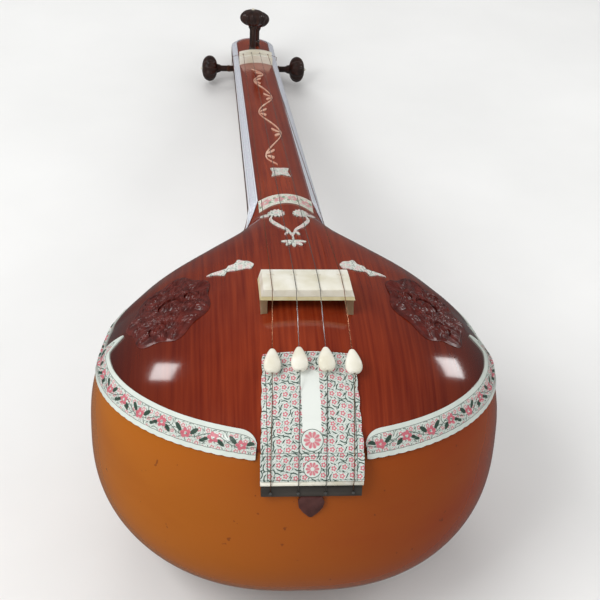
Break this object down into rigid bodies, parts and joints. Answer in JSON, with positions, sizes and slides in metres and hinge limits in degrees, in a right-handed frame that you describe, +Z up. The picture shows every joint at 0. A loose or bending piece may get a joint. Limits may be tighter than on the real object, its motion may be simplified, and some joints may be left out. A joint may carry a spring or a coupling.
{
  "type": "tanpura",
  "caption": "Long-necked plucked drone lute with a round gourd, domed lacquered soundboard, broad bridge, tuning beads, tail plate and side and front pegs.",
  "frame": {"origin": "middle of the footprint's box, on the floor that the gourd and the head lie on", "axes": "+Z up, +Y from the tail of the gourd to the head, +X to the right seen from the tail"},
  "size_m": [0.4586, 1.4352, 0.3604],
  "materials": {
    "gourd": "amber lacquered gourd and wood",
    "lacquer": "red-brown lacquer",
    "dark_wood": "polished near-black wood",
    "ebony": "oiled ebony",
    "bone": "ivory-coloured, polished",
    "inlay": "engraved ivory-coloured celluloid",
    "carving": "dark red carved wood",
    "thread": "cotton thread",
    "wire": "drawn wire"
  },
  "bodies": {
    "instrument": {"gourd_shell": "gourd", "shoulder_collar": "gourd", "neck_shell": "gourd", "joint_block": "gourd", "soundboard": "lacquer", "neck_face": "lacquer", "rim_band_left": "inlay", "rim_band_right": "inlay", "side_band_left": "inlay", "side_band_right": "inlay", "head_band": "inlay", "cross_band": "inlay", "heart_inlay": "inlay", "plaque_inlay": "inlay", "vine_inlay": "inlay", "bird_inlay_left": "inlay", "bird_inlay_right": "inlay", "shoulder_carving_left": "carving", "shoulder_carving_right": "carving", "nut": "bone", "string_guide": "bone", "bridge_base": "bone", "bridge_plate": "bone", "bridge_thread_1": "thread", "bridge_thread_2": "thread", "bridge_thread_3": "thread", "bridge_thread_4": "thread", "tail_plate": "inlay", "tail_block": "ebony", "tail_saddle": "bone", "tail_end": "dark_wood", "hitch_pin_1": "wire", "hitch_pin_2": "wire", "hitch_pin_3": "wire", "hitch_pin_4": "wire", "string_1": "wire", "string_2": "wire", "string_3": "wire", "string_4": "wire"},
    "peg_1": {"side_peg_left": "dark_wood", "peg_button_1": "bone", "string_winding_1": "wire"},
    "peg_2": {"front_peg_near": "dark_wood", "peg_button_2": "bone", "string_winding_2": "wire"},
    "peg_3": {"front_peg_far": "dark_wood", "peg_button_3": "bone", "string_winding_3": "wire"},
    "peg_4": {"side_peg_right": "dark_wood", "peg_button_4": "bone", "string_winding_4": "wire"},
    "bead_1": {"tuning_bead_1": "bone"},
    "bead_2": {"tuning_bead_2": "bone"},
    "bead_3": {"tuning_bead_3": "bone"},
    "bead_4": {"tuning_bead_4": "bone"}
  },
  "joints": [
    {"name": "peg_turn_1", "type": "hinge", "parent": "instrument", "child": "peg_1", "pos_m": [-0.0372, 0.60211, 0.03141], "axis": [-1, 0, 0], "continuous": true},
    {"name": "peg_turn_2", "type": "hinge", "parent": "instrument", "child": "peg_2", "pos_m": [-0.004, 0.58237, 0.07381], "axis": [0, 0.2098, 0.9777], "continuous": true},
    {"name": "peg_turn_3", "type": "hinge", "parent": "instrument", "child": "peg_3", "pos_m": [0.006, 0.6371, 0.06196], "axis": [0, 0.2098, 0.9777], "continuous": true},
    {"name": "peg_turn_4", "type": "hinge", "parent": "instrument", "child": "peg_4", "pos_m": [0.0372, 0.60211, 0.03141], "axis": [1, 0, 0], "continuous": true},
    {"name": "bead_slide_1", "type": "slide", "parent": "instrument", "child": "bead_1", "axis": [0.0378, 0.954, 0.2974], "range_m": [-0.003, 0.03]},
    {"name": "bead_slide_2", "type": "slide", "parent": "instrument", "child": "bead_2", "axis": [0.0128, 0.9608, 0.2768], "range_m": [-0.003, 0.03]},
    {"name": "bead_slide_3", "type": "slide", "parent": "instrument", "child": "bead_3", "axis": [-0.0127, 0.9599, 0.2799], "range_m": [-0.003, 0.03]},
    {"name": "bead_slide_4", "type": "slide", "parent": "instrument", "child": "bead_4", "axis": [-0.0376, 0.9511, 0.3065], "range_m": [-0.003, 0.03]}
  ]
}
